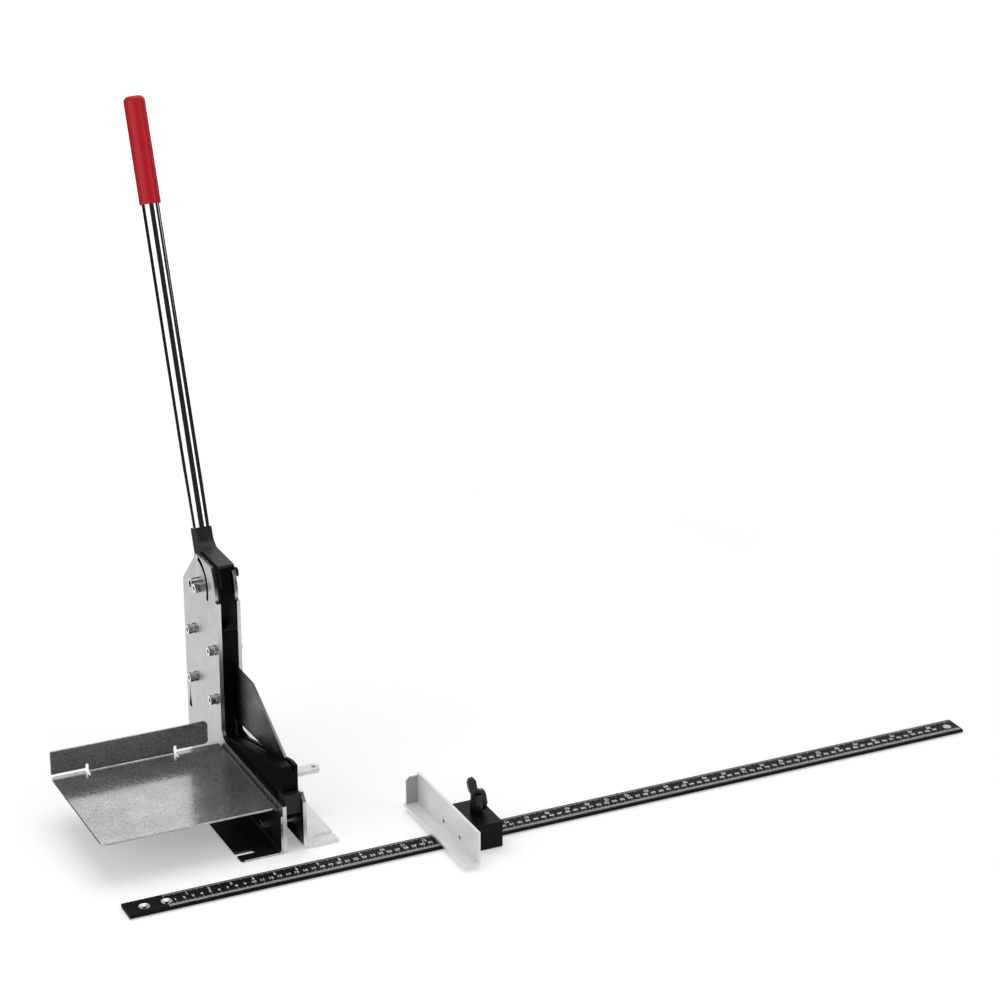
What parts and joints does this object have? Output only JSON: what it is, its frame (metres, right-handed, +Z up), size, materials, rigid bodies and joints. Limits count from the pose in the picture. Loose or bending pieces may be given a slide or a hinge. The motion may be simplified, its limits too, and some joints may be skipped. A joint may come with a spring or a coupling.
{
  "type": "wiring duct cutter",
  "caption": "Bench cutter for wiring duct: side plates and a feed table carry a lever-driven blade over a slotted die; a loose scale rail with a sliding, clamped stop lies in front.",
  "frame": {"origin": "on the bench plane, under the middle of the left bench flange", "axes": "+X along the duct feed, from the table to the rail's far end; +Y from the front to the back; +Z up"},
  "size_m": [1.0495, 0.579, 0.7579],
  "materials": {
    "zinc_plate": "zinc-plated, satin",
    "galvanised_sheet": "galvanised, satin",
    "black_steel": "black oxide, low sheen",
    "spacer_steel": "dull brown-grey",
    "screw_steel": "plain",
    "blade_steel": "ground",
    "chrome_tube": "polished",
    "red_grip": "smooth",
    "black_rail": "black, satin",
    "scale_face": "printed",
    "black_plastic": "moulded",
    "angle_aluminium": "anodised, satin"
  },
  "bodies": {
    "base": {"feed_table": "galvanised_sheet", "left_plate": "zinc_plate", "right_plate": "zinc_plate", "front_guide_bar": "black_steel", "base_spacer": "spacer_steel", "die_block": "black_steel", "die_screws": "screw_steel", "spacer_screws": "screw_steel", "base_bolts": "screw_steel", "base_sleeves": "screw_steel", "base_nuts": "screw_steel", "column_screws": "screw_steel", "column_washers": "zinc_plate", "column_nuts": "screw_steel", "rear_sleeves": "screw_steel", "pivot_bolt": "screw_steel", "pivot_nut": "screw_steel", "keeper_screw": "screw_steel", "side_screw": "black_steel", "support_arm": "zinc_plate", "arm_screws": "screw_steel", "stop_rail": "black_rail", "scale_strip": "scale_face", "rail_screws": "screw_steel"},
    "lever": {"lever_head": "black_steel", "lever_tube": "chrome_tube", "lever_grip": "red_grip", "stop_pin": "screw_steel"},
    "blade": {"blade": "blade_steel", "blade_follower": "screw_steel"},
    "carriage": {"carriage_block": "black_plastic", "stop_angle": "angle_aluminium", "end_stop": "angle_aluminium", "angle_screws": "screw_steel"},
    "knob": {"clamp_knob": "black_plastic"}
  },
  "joints": [
    {"name": "lever_pivot", "type": "hinge", "parent": "base", "child": "lever", "pos_m": [0.03925, 0.155, 0.229], "axis": [1, 0, 0], "range_deg": [0, 105]},
    {"name": "blade_slide", "type": "slide", "parent": "base", "child": "blade", "axis": [0, 0, -1], "range_m": [0, 0.0301]},
    {"name": "carriage_slide", "type": "slide", "parent": "base", "child": "carriage", "axis": [1, 0, 0], "range_m": [-0.09, 0.59]},
    {"name": "knob_turn", "type": "hinge", "parent": "carriage", "child": "knob", "pos_m": [0.2334, -0.152, 0.035], "axis": [0, 0, 1], "range_deg": [0, 180]}
  ],
  "couplings": [
    {"joint": "blade_slide", "follows": "lever_pivot", "m_per_rad": 0.01637}
  ]
}
